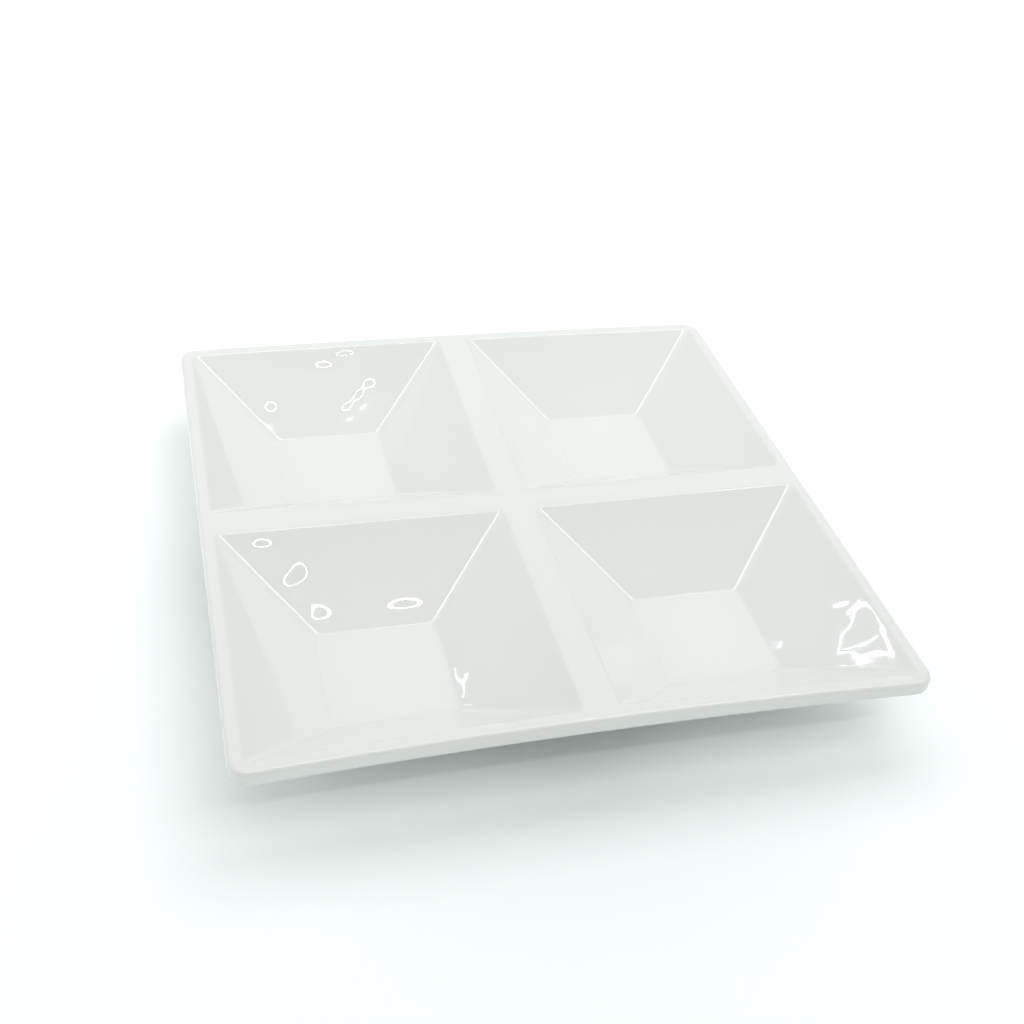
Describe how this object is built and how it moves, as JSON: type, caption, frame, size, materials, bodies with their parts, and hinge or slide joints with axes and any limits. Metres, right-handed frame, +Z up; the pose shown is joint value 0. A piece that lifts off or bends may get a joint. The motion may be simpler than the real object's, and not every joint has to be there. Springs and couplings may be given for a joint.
{
  "type": "divided sauce dish",
  "caption": "Square white glazed dish with a narrow rim and a flat cross divider between square wells with sloping walls; holds dips and sauces side by side and stands on short foot rings.",
  "frame": {"origin": "middle of the dish, on the surface that its feet stand on", "axes": "+Z up, +X along the front edge to the viewer's right, +Y from the front edge to the rear edge"},
  "size_m": [0.2, 0.2, 0.03],
  "materials": {
    "glaze": "clear glossy glaze over white porcelain, slightly wavy",
    "bare_foot": "unglazed, ground flat, fine matt porcelain"
  },
  "bodies": {
    "root": {"rim_frame": "glaze", "divider_cross": "glaze", "well_front_left": "glaze", "well_front_right": "glaze", "well_rear_left": "glaze", "well_rear_right": "glaze", "foot_front_left": "bare_foot", "foot_front_right": "bare_foot", "foot_rear_left": "bare_foot", "foot_rear_right": "bare_foot"}
  },
  "joints": []
}
